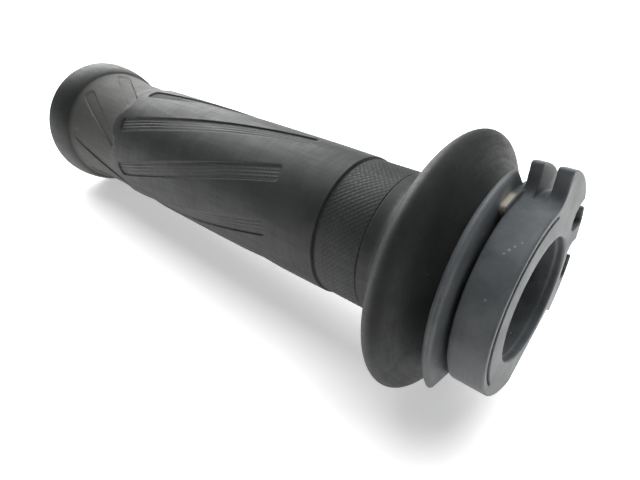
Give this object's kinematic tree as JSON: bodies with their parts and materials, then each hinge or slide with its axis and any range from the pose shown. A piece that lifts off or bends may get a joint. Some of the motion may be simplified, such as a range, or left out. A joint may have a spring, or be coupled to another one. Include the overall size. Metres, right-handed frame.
{
  "type": "motorcycle throttle grip",
  "caption": "Ribbed rubber throttle grip with an end bead and guard ring, on a plastic twist tube with a cable drum and slotted cable lug.",
  "frame": {"origin": "on the handlebar's axis, in the plane of the cable drum's inboard face", "axes": "+X along the handlebar towards its middle, +Z from the axis towards the cable lug"},
  "size_m": [0.1432, 0.0508, 0.0508],
  "materials": {
    "drum_plastic": "satin dark grey moulded nylon",
    "grip_rubber": "matt black moulded rubber, fine grain"
  },
  "bodies": {
    "root": {"throttle_tube": "drum_plastic", "rubber_grip": "grip_rubber"}
  },
  "joints": []
}
